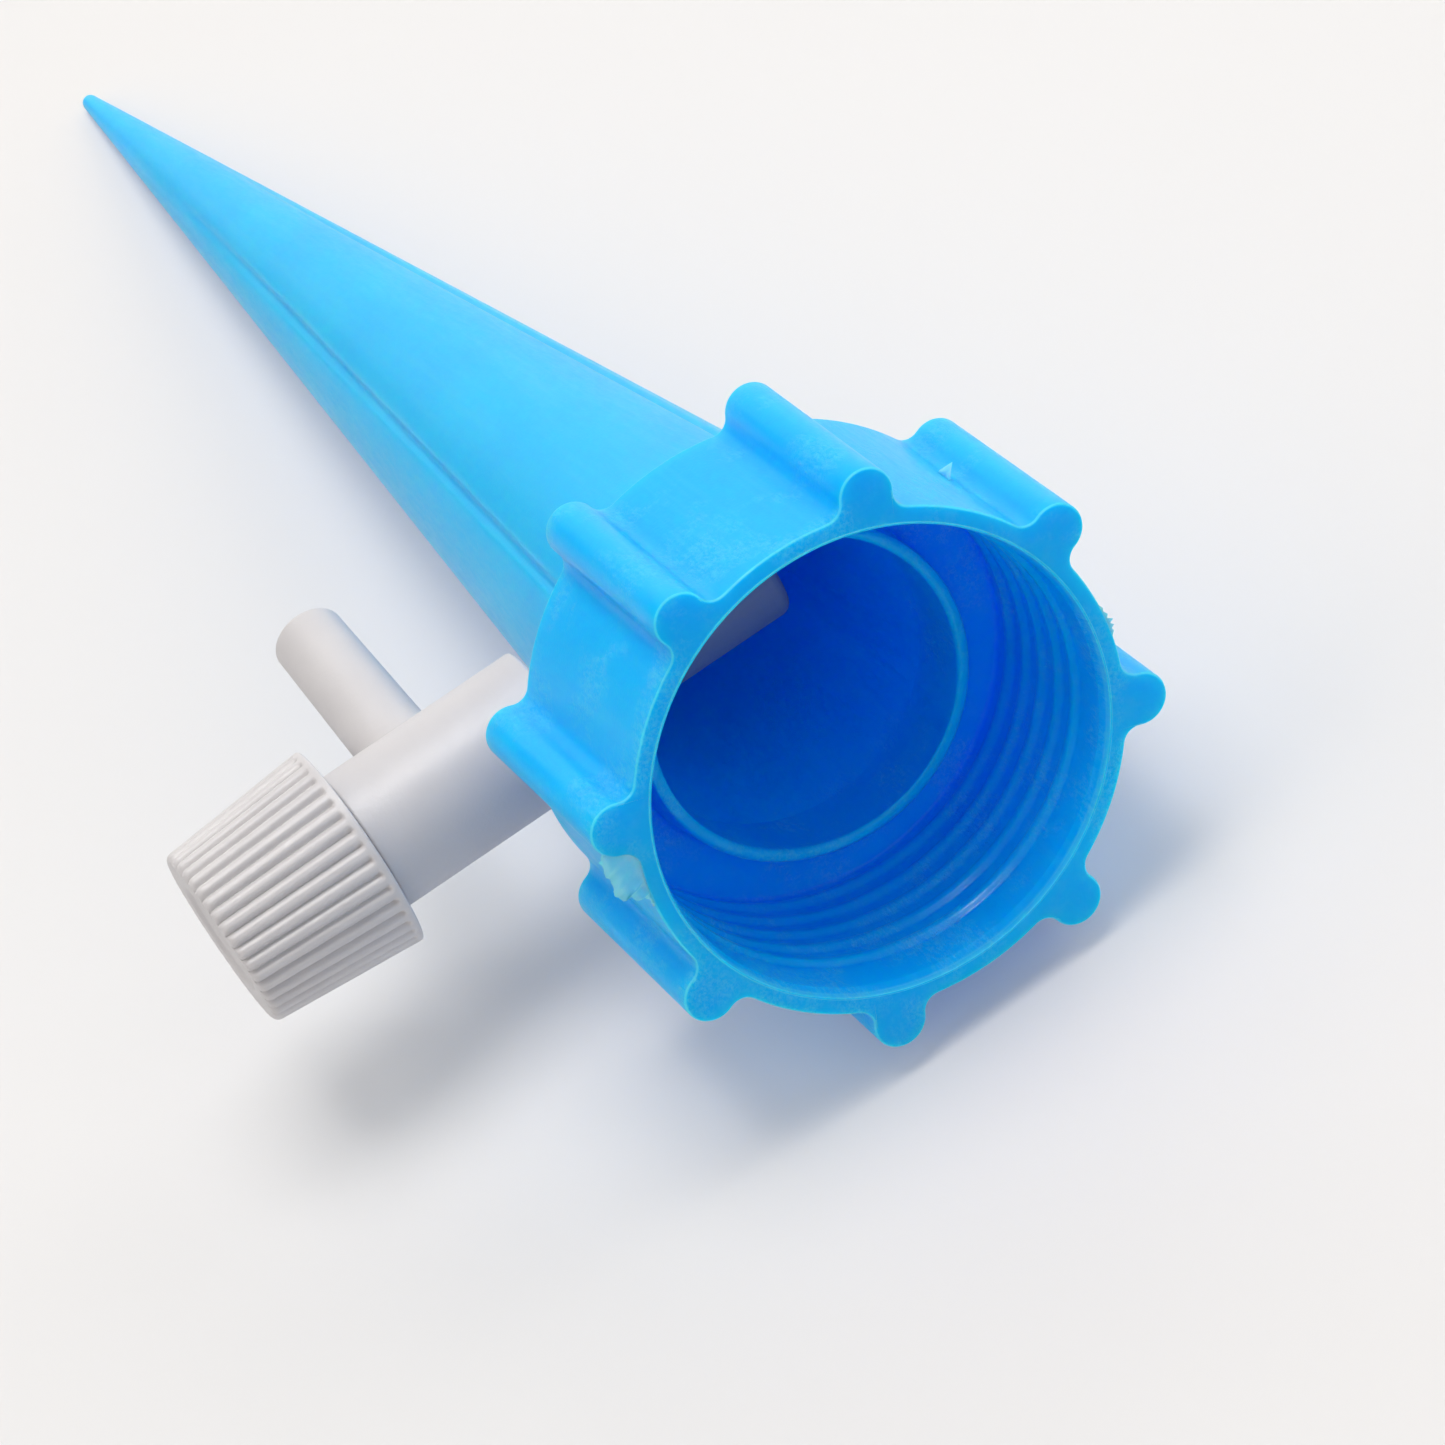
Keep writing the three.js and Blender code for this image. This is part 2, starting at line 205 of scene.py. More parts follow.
def make_piece(name, skin, material, body, slot, *replaced):
    """The skin as a Blender piece in the row's frame, riding on a CAD body and standing for CAD nodes."""
    mesh = bpy.data.meshes.new(name)
    mesh.from_pydata(row_point(skin.points).tolist(), [], skin.faces)
    tidy = bmesh.new()
    tidy.from_mesh(mesh)
    bmesh.ops.remove_doubles(tidy, verts=tidy.verts, dist=0.2e-6)
    bmesh.ops.recalc_face_normals(tidy, faces=tidy.faces)
    tidy.to_mesh(mesh)
    tidy.free()
    mesh.polygons.foreach_set("use_smooth", [True] * len(mesh.polygons))
    mesh.materials.append(material)
    piece = bpy.data.objects.new(name, mesh)
    bpy.context.scene.collection.objects.link(piece)
    weighted = piece.modifiers.new("even_shading", "WEIGHTED_NORMAL")
    weighted.mode = "FACE_AREA"
    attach(piece, body)
    if replaced:
        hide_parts(*replaced)
    return piece


# ---------------------------------------------------------------- materials


class Nodes:
    """A new material's node tree, with short calls to add and join nodes."""

    def __init__(self, name):
        self.material = bpy.data.materials.new(name)
        self.material.use_nodes = True
        self.tree = self.material.node_tree
        self.shader = self.tree.nodes["Principled BSDF"]

    def add(self, kind, settings=None, **inputs):
        node = self.tree.nodes.new(kind)
        for key, value in (settings or {}).items():
            setattr(node, key, value)
        for key, value in inputs.items():
            self.put(node, key.replace("_", " "), value)
        return node

    def put(self, node, socket, value):
        target = node.inputs[socket]
        if isinstance(value, bpy.types.NodeSocket):
            self.tree.links.new(value, target)
        else:
            target.default_value = value

    def noise(self, vector, scale, detail=2.0, roughness=0.5):
        node = self.add("ShaderNodeTexNoise", Scale=scale, Detail=detail, Roughness=roughness)
        self.put(node, "Vector", vector)
        return node.outputs["Fac"]

    def stretched(self, vector, scale):
        node = self.add("ShaderNodeMapping", Scale=scale)
        self.put(node, "Vector", vector)
        return node.outputs["Vector"]

    def span(self, value, low, high, to_low=0.0, to_high=1.0):
        """value's way from low to high, clamped, as a number from to_low to to_high."""
        node = self.add("ShaderNodeMapRange")
        sockets = ("Value", "From Min", "From Max", "To Min", "To Max")
        for socket, number in zip(sockets, (value, low, high, to_low, to_high)):
            self.put(node, socket, number)
        return node.outputs["Result"]

    def mix(self, share, first, second):
        node = self.add("ShaderNodeMix", {"data_type": "RGBA"})
        sockets = [s for s in node.inputs if s.type == "RGBA"]
        self.put(node, "Factor", share)
        for socket, value in zip(sockets, (first, second)):
            if isinstance(value, bpy.types.NodeSocket):
                self.tree.links.new(value, socket)
            else:
                socket.default_value = value
        return next(s for s in node.outputs if s.type == "RGBA")

    def math(self, operation, first, second):
        node = self.add("ShaderNodeMath", {"operation": operation})
        for i, value in enumerate((first, second)):
            if isinstance(value, bpy.types.NodeSocket):
                self.tree.links.new(value, node.inputs[i])
            else:
                node.inputs[i].default_value = value
        return node.outputs["Value"]

    def bump(self, height, distance, strength=1.0, normal=None):
        node = self.add("ShaderNodeBump", Strength=strength, Distance=distance)
        self.put(node, "Height", height)
        if normal is not None:
            self.put(node, "Normal", normal)
        return node.outputs["Normal"]


def linear(red, green, blue):
    """An sRGB colour of 0 to 255 as a linear one."""
    channels = [c / 255 for c in (red, green, blue)]
    return [c / 12.92 if c <= 0.04045 else ((c + 0.055) / 1.055) ** 2.4 for c in channels] + [1.0]


def painted_highlight_edges(nodes, along):
    """Where the painted highlight goes: 1 on the rounded edges of the socket's rim and back, where the
    surface turns, else 0.
    """
    facing = nodes.add("ShaderNodeTexCoord").outputs["Normal"]
    tilt = nodes.math("ABSOLUTE", nodes.add("ShaderNodeSeparateXYZ", Vector=facing).outputs["X"], 0.0)
    turning = nodes.math("MULTIPLY", nodes.span(tilt, 0.12, 0.35), nodes.span(tilt, 0.97, 0.85))
    rim = nodes.span(along, RIM_CENTRE[0] - 0.00045, RIM_CENTRE[0] - 0.0003)
    back = nodes.span(along, SOCKET_BACK_X + 0.0003, SOCKET_BACK_X + 0.0002)
    return nodes.math("MULTIPLY", turning, nodes.math("MAXIMUM", rim, back))


def inside_walls(nodes, place, along):
    """1 on the glossier inside of the socket and of the hollow spike, else 0."""
    to_axis = (0.0, -RIM_CENTRE[1], -RIM_CENTRE[2])
    off_axis = nodes.add("ShaderNodeMapping", Scale=(0.0, 1.0, 1.0), Location=to_axis)
    nodes.put(off_axis, "Vector", place)
    length = nodes.add("ShaderNodeVectorMath", {"operation": "LENGTH"})
    nodes.put(length, "Vector", off_axis.outputs["Vector"])
    tip_x = RIM_CENTRE[0] - SPIKE_LENGTH * MM
    in_cone = nodes.span(along, tip_x, SOCKET_BACK_X, 0.0, (CONE_BASE_RADIUS - 0.6) * MM)
    in_socket = nodes.span(along, SOCKET_BACK_X - 0.0001, SOCKET_BACK_X, 0.0, (MOUTH_RADIUS - 0.05) * MM)
    limit = nodes.math("MAXIMUM", in_cone, in_socket)
    return nodes.math("LESS_THAN", length.outputs["Value"], limit)


def blue_plastic(name, deep, pale, edge, scatter):
    """Satin polyethylene, a little translucent, with flow streaks and a painted highlight on its rounded
    edges.

    The socket is scuffed, and the inside is a little glossier. edge is the pale tone of the streaks and the
    scuffs, and of the painted edge highlight. scatter is how far light spreads, in metres.
    """
    nodes = Nodes(name)
    place = nodes.add("ShaderNodeTexCoord").outputs["Object"]
    clouds = nodes.noise(place, 90.0, 3.0)
    streaks = nodes.noise(nodes.stretched(place, (60.0, 900.0, 900.0)), 1.0, 4.0, 0.6)
    tone = nodes.mix(nodes.span(clouds, 0.35, 0.65), deep, pale)
    tone = nodes.mix(nodes.span(streaks, 0.5, 0.8, 0.0, 0.12), tone, edge)

    split = nodes.add("ShaderNodeSeparateXYZ", Vector=place)
    along = split.outputs["X"]
    on_socket = nodes.span(along, SOCKET_BACK_X - 0.002, SOCKET_BACK_X)
    patches = nodes.span(nodes.noise(place, 240.0, 3.0, 0.6), 0.48, 0.62)
    rubbing = nodes.noise(nodes.stretched(place, (1500.0, 3600.0, 3600.0)), 1.0, 4.0, 0.75)
    scuffed = nodes.math("MULTIPLY", patches, nodes.span(rubbing, 0.44, 0.66))
    scuffed = nodes.math("MULTIPLY", scuffed, on_socket)
    tone = nodes.mix(nodes.math("MULTIPLY", scuffed, 0.4), tone, edge)
    # Painted highlight: the rounded rim and back edges are lightened towards the pale tone.
    tone = nodes.mix(nodes.math("MULTIPLY", painted_highlight_edges(nodes, along), 0.5), tone, edge)
    nodes.put(nodes.shader, "Base Color", tone)

    scratches = nodes.noise(nodes.stretched(place, (500.0, 2600.0, 2600.0)), 1.0, 3.0, 0.7)
    grain = nodes.noise(place, 5200.0, 2.0)
    roughness = nodes.span(scratches, 0.3, 0.75, 0.29, 0.4)
    roughness = nodes.math("ADD", roughness, nodes.math("MULTIPLY", scuffed, 0.2))
    inside = inside_walls(nodes, place, along)
    roughness = nodes.math("MULTIPLY", roughness, nodes.math("SUBTRACT", 1.0, inside))
    roughness = nodes.math("ADD", roughness, nodes.math("MULTIPLY", inside, 0.285))
    nodes.put(nodes.shader, "Roughness", roughness)
    normal = nodes.bump(grain, 0.00001)
    normal = nodes.bump(scratches, 0.00001, 0.6, normal)
    normal = nodes.bump(scuffed, 0.00003, 0.8, normal)
    nodes.put(nodes.shader, "Normal", normal)
    nodes.put(nodes.shader, "Subsurface Weight", 1.0)
    nodes.put(nodes.shader, "Subsurface Radius", (0.05, 0.6, 1.0))
    nodes.put(nodes.shader, "Subsurface Scale", scatter)
    nodes.put(nodes.shader, "IOR", 1.5)
    nodes.put(nodes.shader, "Specular IOR Level", 0.12)
    return nodes.material


def grey_plastic(name, light, dark, painted_shade_tone, roughness):
    """Matt moulded plastic with a fine grain and a faint mottle, and a painted blue shade on what lies
    inside the hollow spike.
    """
    nodes = Nodes(name)
    place = nodes.add("ShaderNodeTexCoord").outputs["Object"]
    clouds = nodes.noise(place, 160.0, 3.0)
    tone = nodes.mix(nodes.span(clouds, 0.3, 0.7), dark, light)
    across = nodes.add("ShaderNodeSeparateXYZ", Vector=place).outputs["Y"]
    # Painted shade: what lies inside the hollow spike, nearer the axis than its wall, is darkened to a blue
    # grey.
    painted_shade_inside = nodes.span(across, RIM_CENTRE[1] - 0.0105, RIM_CENTRE[1] - 0.009)
    nodes.put(nodes.shader, "Base Color", nodes.mix(painted_shade_inside, tone, painted_shade_tone))
    grain = nodes.noise(place, 4200.0, 3.0, 0.6)
    nodes.put(nodes.shader, "Roughness", nodes.span(grain, 0.3, 0.7, roughness - 0.06, roughness + 0.06))
    nodes.put(nodes.shader, "Normal", nodes.bump(grain, 0.00002, 0.6))
    nodes.put(nodes.shader, "Subsurface Weight", 0.15)
    nodes.put(nodes.shader, "Subsurface Radius", (1.0, 0.95, 0.9))
    nodes.put(nodes.shader, "Subsurface Scale", 0.0008)
    return nodes.material


def black_rubber():
    nodes = Nodes("nitrile_rubber")
    place = nodes.add("ShaderNodeTexCoord").outputs["Object"]
    grain = nodes.noise(place, 3000.0, 3.0)
    nodes.put(nodes.shader, "Base Color", nodes.mix(grain, linear(20, 20, 22), linear(34, 34, 36)))
    nodes.put(nodes.shader, "Roughness", nodes.span(grain, 0.3, 0.7, 0.6, 0.8))
    nodes.put(nodes.shader, "Normal", nodes.bump(grain, 0.00002, 0.5))
    return nodes.material


# The third colour of each set is the pale tone of the streaks and scuffs, and of the painted highlight on
# the rounded edges.
sky_blues = (linear(0, 175, 255), linear(0, 181, 255), linear(104, 212, 255))
film_blues = (linear(90, 195, 235), linear(120, 210, 242), linear(160, 226, 248))
# The third colour of each set is a painted blue shade for what lies inside the hollow spike.
greys = (linear(206, 203, 204), linear(199, 196, 198), linear(112, 134, 164))
whites = (linear(232, 230, 222), linear(222, 220, 212), linear(222, 220, 212))
blue = blue_plastic("blue_polyethylene", *sky_blues, 0.0026)
film = blue_plastic("thin_blue_film", *film_blues, 0.0002)
grey = grey_plastic("grey_moulded_plastic", *greys, 0.5)
white = grey_plastic("white_moulded_plastic", *whites, 0.45)
rubber = black_rubber()

# ---------------------------------------------------------------- spike moulding


def cone_radius(x):
    return CONE_BASE_RADIUS + CONE_TAPER * (x + SOCKET_LENGTH)


def column_angles():
    """Angles round the spike, closer together at the creases."""
    even = 2 * math.pi * np.arange(COLUMNS) / COLUMNS
    crease = math.pi / CREASE_COUNT
    return even - 0.15 * np.sin(CREASE_COUNT * (even - crease))


def crease_cut(x, angles):
    """How deep the long creases cut the cone at x, for each angle."""
    spacing = 2 * math.pi / CREASE_COUNT
    off = angles % spacing - spacing / 2
    across = off * cone_radius(x)
    fade = smooth_step((x - CREASE_END) / 40)
    return CREASE_DEPTH * fade * np.exp(-((across / CREASE_HALF_WIDTH) ** 2))


def thread_ridge(x, angles):
    """The height of the socket's thread at x, for each angle."""
    turn = angles / (2 * math.pi)
    phase = (x - THREAD_ORIGIN) / THREAD_PITCH - turn
    whole = np.round(phase)
    along = whole + turn
    ends = np.minimum(along - THREAD_FIRST_TURN, THREAD_LAST_TURN - along)
    across = np.abs(phase - whole) * THREAD_PITCH
    fade = smooth_step(ends / 0.12) * smooth_step((x - THREAD_FLOOR) / 0.6)
    return THREAD_HEIGHT * fade * smooth_step((0.66 - across) / 0.5)


def ribbed_outline():
    """The socket's outline across its axis, as (points, outward normals, turns)."""
    fillet_centre = SOCKET_RADIUS + RIB_FILLET_RADIUS
    reach = RIB_HEAD_RADIUS + RIB_FILLET_RADIUS
    squares = fillet_centre**2 + RIB_CENTRE_RADIUS**2 - reach**2
    spread = math.acos(squares / (2 * fillet_centre * RIB_CENTRE_RADIUS))
    points, normals = [], []

    def arc(centre, radius, start, end, steps, outward):
        for angle in np.linspace(start, end, steps, endpoint=False):
            direction = np.array([math.cos(angle), math.sin(angle)])
            points.append(np.asarray(centre) + radius * direction)
            normals.append(direction * outward)

    for i in range(RIB_COUNT):
        middle = 2 * math.pi * (i + 0.5) / RIB_COUNT
        rib = RIB_CENTRE_RADIUS * np.array([math.cos(middle), math.sin(middle)])
        before, after = middle - spread, middle + spread
        centre_before = fillet_centre * np.array([math.cos(before), math.sin(before)])
        centre_after = fillet_centre * np.array([math.cos(after), math.sin(after)])
        toward_before = math.atan2(*(centre_before - rib)[::-1])
        toward_after = math.atan2(*(centre_after - rib)[::-1])
        head_turn = (toward_after - toward_before) % (2 * math.pi)
        fillet_turn = (before - toward_before) % (2 * math.pi)
        fillet_turn = min(fillet_turn, 2 * math.pi - fillet_turn)
        last = middle - 2 * math.pi / RIB_COUNT + spread
        arc((0, 0), SOCKET_RADIUS, last, before, WALL_STEPS, 1)
        start = before + math.pi
        arc(centre_before, RIB_FILLET_RADIUS, start, start - fillet_turn, FILLET_STEPS, -1)
        arc(rib, RIB_HEAD_RADIUS, toward_before, toward_before + head_turn, HEAD_STEPS, 1)
        start = toward_after + math.pi
        arc(centre_after, RIB_FILLET_RADIUS, start, start - fillet_turn, FILLET_STEPS, -1)
    points, normals = np.array(points), np.array(normals)
    first = int(np.argmin(np.abs(np.arctan2(points[:, 1], points[:, 0]))))
    points, normals = np.roll(points, -first, 0), np.roll(normals, -first, 0)
    turns = np.unwrap(np.arctan2(points[:, 1], points[:, 0])) / (2 * math.pi)
    return points, normals, np.maximum.accumulate(turns - turns[0])


def spike_skin():
    skin = Skin()
    angles = column_angles()
    turns = (angles - angles[0]) / (2 * math.pi)

    tip_centre = -SPIKE_LENGTH + TIP_RADIUS
    outside = []
    for angle in np.radians([20, 45, 70]):
        outside.append((TIP_RADIUS * math.sin(angle), tip_centre - TIP_RADIUS * math.cos(angle)))
    for x in np.linspace(tip_centre, -SOCKET_LENGTH - 2.5, CONE_STEPS):
        outside.append((cone_radius(x), x))
    fillet = 0.4
    root = (cone_radius(-SOCKET_LENGTH), -SOCKET_LENGTH, fillet)
    above_root = -SOCKET_LENGTH - 1.5
    outside += rounded([(cone_radius(above_root), above_root), root, (root[0] + 0.8, -SOCKET_LENGTH)], 5)
    loops = []
    for radius, x in outside:
        cut = crease_cut(x, angles) if -SPIKE_LENGTH + 1 < x < -SOCKET_LENGTH - 0.01 else 0
        loops.append(skin.loop(about_spike(radius - cut, x, angles)))
    skin.cap(loops[0], (-SPIKE_LENGTH, 0, 0))
    skin.bands(loops)
    back_inner = loops[-1]

    points, normals, outline_turns = ribbed_outline()
    stations = []
    for angle in np.radians(np.linspace(0, 90, 5)):
        inset = SOCKET_EDGE * (1 - math.sin(angle))
        stations.append((inset, -SOCKET_LENGTH + SOCKET_EDGE * (1 - math.cos(angle))))
    for x in np.linspace(-SOCKET_LENGTH + SOCKET_EDGE, -SOCKET_EDGE, 12)[1:-1]:
        stations.append((0, x))
    for angle in np.radians(np.linspace(90, 0, 5)):
        inset = SOCKET_EDGE * (1 - math.sin(angle))
        stations.append((inset, -SOCKET_EDGE * (1 - math.cos(angle))))
    walls = []
    for inset, x in stations:
        ring = points - inset * normals
        walls.append(skin.loop(np.column_stack([np.full(len(ring), x), ring])))
    skin.stitch(back_inner, walls[0], turns, outline_turns)
    skin.bands(walls)

    inside = rounded([
        (MOUTH_RADIUS + 0.2, 0.0),
        (MOUTH_RADIUS + 0.14, 0.0),
        (MOUTH_RADIUS + 0.09, 0.06, 0.02),
        (MOUTH_RADIUS, 0.05, 0.03),
        (MOUTH_RADIUS - 0.06, -0.25, 0.1),
        (BORE_RADIUS, -0.9, 0.3),
        (BORE_RADIUS, THREAD_TOP),
    ])
    inside += [(BORE_RADIUS, x) for x in np.linspace(THREAD_TOP, THREAD_FLOOR, THREAD_STEPS)[1:-1]]
    inside += rounded([
        (BORE_RADIUS, THREAD_FLOOR),
        (BORE_RADIUS, -SOCKET_DEPTH, 0.3),
        (LIP_OUTER_RADIUS, -SOCKET_DEPTH, 0.3),
        (LIP_OUTER_RADIUS, -LIP_DEPTH, 0.36),
        (LIP_INNER_RADIUS, -LIP_DEPTH, 0.36),
        (LIP_INNER_RADIUS, -SOCKET_LENGTH, 1.0),
        (HOLLOW_END_RADIUS, HOLLOW_END),
    ], 5)
    hollow_from, hollow_to = inside[-2], inside[-1]
    inside.pop()
    for share in np.linspace(0, 1, HOLLOW_STEPS)[1:]:
        inside.append(tuple(np.array(hollow_from) * (1 - share) + np.array(hollow_to) * share))
    loops = []
    for radius, x in inside:
        ridge = thread_ridge(x, angles) if THREAD_FLOOR < x < THREAD_TOP else 0
        loops.append(skin.loop(about_spike(radius - ridge, x, angles)))
    skin.stitch(walls[-1], loops[0], outline_turns, turns)
    skin.bands(loops)
    skin.cap(loops[-1], (hollow_to[1] - 0.4, 0, 0))
    return skin


make_piece("spike_moulding", spike_skin(), blue, "spike", "spike_plastic", "spike_body")

# Torn flash the mould left, as (where it is rooted, how far it reaches): a flap in the corner beside one
# rib, a few teeth on the rim's edge and a curl at the foot of another rib.
FLAP_ROOTS = [
    (-15.9, 5.6), (-15.4, 5.3), (-14.7, 4.6), (-14.5, 3.9), (-14.6, 3.4), (-14.7, 2.8), (-14.8, 2.3),
    (-14.8, 1.9), (-14.9, 1.5), (-14.9, 1.1), (-14.95, 0.7),
]
FLAP_TIPS = [
    (-16.25, 5.35), (-16.5, 4.95), (-16.55, 4.0), (-16.45, 3.45), (-16.7, 2.75), (-16.4, 2.05),
    (-16.0, 2.1), (-15.75, 1.6), (-15.3, 1.5), (-15.1, 1.1), (-15.06, 0.75),
]
FLAP_STEPS = 41
FLASH_DEPTH = 0.12
TOOTH_ANGLES = np.radians([2.0, 1.0, 0.2, -0.9, -1.7, -2.6, -3.1, -3.9, -4.4, -5.2, -6.0])
TOOTH_REACH = [0.0, 0.1, 0.04, 0.2, 0.08, 0.38, 0.12, 0.3, 0.1, 0.16, 0.0]
CURL_ANGLE = math.radians(34.0)
CURL_X = [-8.7, -8.3, -7.9, -7.6, -7.3]
CURL_REACH = [0.1, 0.5, 0.9, 0.4, 0.1]


def torn_flap(skin, roots, tips, across):
    """A thin flap from a line of roots to a line of tips, thinner at the tips and closed all round."""
    loops = []
    for root, tip in zip(np.asarray(roots, float), np.asarray(tips, float)):
        middle = (root + tip) / 2
        front = [root + across, middle + 0.8 * across, tip + 0.4 * across]
        back = [tip - 0.4 * across, middle - 0.8 * across, root - across]
        loops.append(skin.loop(front + back))
    skin.bands(loops)
    skin.faces += [tuple(loops[0]), tuple(loops[-1])]


def flash_skin():
    skin = Skin()
    along_x = np.array([0.05, 0.0, 0.0])
    shares = np.linspace(0, len(FLAP_ROOTS) - 1, FLAP_STEPS)
    numbers = np.arange(len(FLAP_ROOTS))
    roots = np.stack([np.interp(shares, numbers, np.array(FLAP_ROOTS)[:, i]) for i in (0, 1)], -1)
    tips = np.stack([np.interp(shares, numbers, np.array(FLAP_TIPS)[:, i]) for i in (0, 1)], -1)
    tips += np.random.RandomState(4).uniform(-0.07, 0.07, tips.shape)
    bend = -0.12 - 0.16 * np.sin(shares * 1.7) ** 2
    roots = np.column_stack([np.full(FLAP_STEPS, -0.1), roots])
    torn_flap(skin, roots, np.column_stack([bend, tips]), along_x)

    teeth = about_spike(SOCKET_RADIUS + np.array(TOOTH_REACH), -FLASH_DEPTH, TOOTH_ANGLES)
    feet = about_spike(SOCKET_RADIUS - 0.25, -FLASH_DEPTH, TOOTH_ANGLES)
    torn_flap(skin, feet, teeth, along_x)

    out = np.array([math.cos(CURL_ANGLE), math.sin(CURL_ANGLE)])
    curl = [[x, *((SOCKET_RADIUS + reach) * out)] for x, reach in zip(CURL_X, CURL_REACH)]
    feet = [[x, *((SOCKET_RADIUS - 0.1) * out)] for x in CURL_X]
    torn_flap(skin, feet, curl, np.array([0.0, -out[1], out[0]]) * 0.05)
    return skin


make_piece("mould_flash", flash_skin(), film, "spike", "spike_plastic")

# ---------------------------------------------------------------- valve moulding

TUBE_RADIUS = 4.5
TUBE_START = 10.8
TUBE_END = 24.2
INLET_RADIUS = 2.7
INLET_START = -4.6
INLET_BORE_RADIUS = 1.2
NECK_RADIUS = 4.1
NECK_END = 30.5
NECK_THREAD_PITCH = 1.0
NECK_THREAD_HEIGHT = 0.28
CHAMBER_RADIUS = 2.4
SEAT_START, SEAT_END = 14.3, 15.4
NOZZLE_AT = 19.0
NOZZLE_START = 3.2
NOZZLE_STRAIGHT_FROM = 5.4
NOZZLE_LENGTH = 15.8
NOZZLE_ROOT_RADIUS = 2.5
NOZZLE_END_RADIUS = 2.25
NOZZLE_BORE_RADIUS = 1.1
NOZZLE_LIFT = math.radians(20)
NOZZLE_FILLET = 0.35
NOZZLE_COLUMNS = 96


def even_angles(count):
    return 2 * math.pi * np.arange(count) / count


def neck_thread(distance, angles):
    """The height of the knob's thread on the neck, right-handed about the way out."""
    turn = -angles / (2 * math.pi)
    phase = (distance - TUBE_END - 0.9) / NECK_THREAD_PITCH - turn
    across = np.abs(phase - np.round(phase)) * 2
    ends = np.minimum(distance - TUBE_END - 0.4, NECK_END - 0.5 - distance)
    return NECK_THREAD_HEIGHT * smooth_step(ends / 0.6) * smooth_step((0.8 - across) / 0.7)


def valve_skin():
    skin = Skin()
    angles = even_angles(128)
    profile = rounded([
        (INLET_BORE_RADIUS, SEAT_START),
        (INLET_BORE_RADIUS, INLET_START, 0.25),
        (INLET_RADIUS, INLET_START, 0.7),
        (INLET_RADIUS, TUBE_START, 0.15),
        (TUBE_RADIUS, TUBE_START, 0.35),
        (TUBE_RADIUS, TUBE_END, 0.2),
        (NECK_RADIUS - 0.1, TUBE_END, 0.1),
        (NECK_RADIUS - 0.1, TUBE_END + 0.4),
    ], 5)
    profile += [(NECK_RADIUS - 0.1, s) for s in np.linspace(TUBE_END + 0.4, NECK_END - 0.4, 72)[1:]]
    profile += rounded([
        (NECK_RADIUS - 0.1, NECK_END - 0.35),
        (NECK_RADIUS - 0.1, NECK_END, 0.3),
        (CHAMBER_RADIUS, NECK_END, 0.2),
        (CHAMBER_RADIUS, SEAT_END),
        (INLET_BORE_RADIUS + 0.02, SEAT_START + 0.02),
    ])
    loops = []
    for radius, distance in profile:
        on_neck = radius > CHAMBER_RADIUS + 1 and TUBE_END + 0.4 < distance < NECK_END - 0.36
        ridge = neck_thread(distance, angles) if on_neck else 0
        loops.append(skin.loop(about_valve(radius + ridge, distance, angles)))
    skin.bands(loops + [loops[0]])
    return skin


def nozzle_point(out, across, up):
    """A point by how far out along the nozzle it is, and how far across it, towards the knob and up."""
    cosine, sine = math.cos(NOZZLE_LIFT), math.sin(NOZZLE_LIFT)
    x = VALVE_X - out * cosine + up * sine
    z = out * sine + up * cosine
    return np.stack([x, np.broadcast_to(-NOZZLE_AT - across, x.shape), z], -1)


def nozzle_skin():
    """The side nozzle, flared into a small fillet where it leaves the tube."""
    skin = Skin()
    angles = even_angles(NOZZLE_COLUMNS)
    across, up = np.cos(angles), np.sin(angles)

    def radius_at(out):
        return NOZZLE_ROOT_RADIUS + (NOZZLE_END_RADIUS - NOZZLE_ROOT_RADIUS) * out / NOZZLE_LENGTH

    def on_tube(radius):
        return np.sqrt(TUBE_RADIUS**2 - (radius * up) ** 2)

    def nozzle_loop(radius, out):
        reach = np.broadcast_to(out, angles.shape)
        return skin.loop(nozzle_point(reach, radius * across, radius * up))

    root = NOZZLE_ROOT_RADIUS - 0.06
    loops = [nozzle_loop(NOZZLE_BORE_RADIUS, NOZZLE_START), nozzle_loop(root + 0.3, NOZZLE_START)]
    for angle in np.radians(np.linspace(0, 90, 6)):
        radius = root + NOZZLE_FILLET * (1 - math.sin(angle))
        out = on_tube(root + NOZZLE_FILLET) - 0.02 + NOZZLE_FILLET * (1 - math.cos(angle))
        loops.append(nozzle_loop(radius, out))
    for out in np.linspace(NOZZLE_STRAIGHT_FROM, NOZZLE_LENGTH - 0.6, 10):
        loops.append(nozzle_loop(radius_at(out), out))
    end = rounded([
        (radius_at(NOZZLE_LENGTH - 0.5), NOZZLE_LENGTH - 0.5),
        (NOZZLE_END_RADIUS, NOZZLE_LENGTH, 0.3),
        (NOZZLE_BORE_RADIUS, NOZZLE_LENGTH, 0.15),
        (NOZZLE_BORE_RADIUS, NOZZLE_LENGTH - 0.5),
    ], 5)
    for radius, out in end:
        loops.append(nozzle_loop(radius, out))
    skin.bands(loops + [loops[0]])
    return skin


make_piece("valve_moulding", valve_skin(), grey, "valve", "valve_plastic", "valve_body")
make_piece("valve_nozzle", nozzle_skin(), grey, "valve", "valve_plastic")

# ---------------------------------------------------------------- knob

KNOB_START = 24.4
KNOB_END = 34.2
KNOB_BIG_RADIUS = 6.55
KNOB_SMALL_RADIUS = 5.75
KNOB_BAND = 0.4
FLUTE_COUNT = 40
FLUTE_DEPTH = 0.38
FLUTE_TURN = math.radians(2.65)
KNOB_BORE_RADIUS = 4.75
KNOB_BORE_END = 31.1
POCKET_RADIUS = 2.2
POCKET_START, POCKET_END = 31.5, 32.9
POCKET_LIP_RADIUS = 1.45


def flute_cut(angles):
    """From 0 on a ridge to 1 in a groove: wide rounded ridges with narrower grooves between."""
    wave = (1 + np.cos(FLUTE_COUNT * (angles - FLUTE_TURN))) / 2
    return 1 - np.sqrt(1 - wave**1.8)


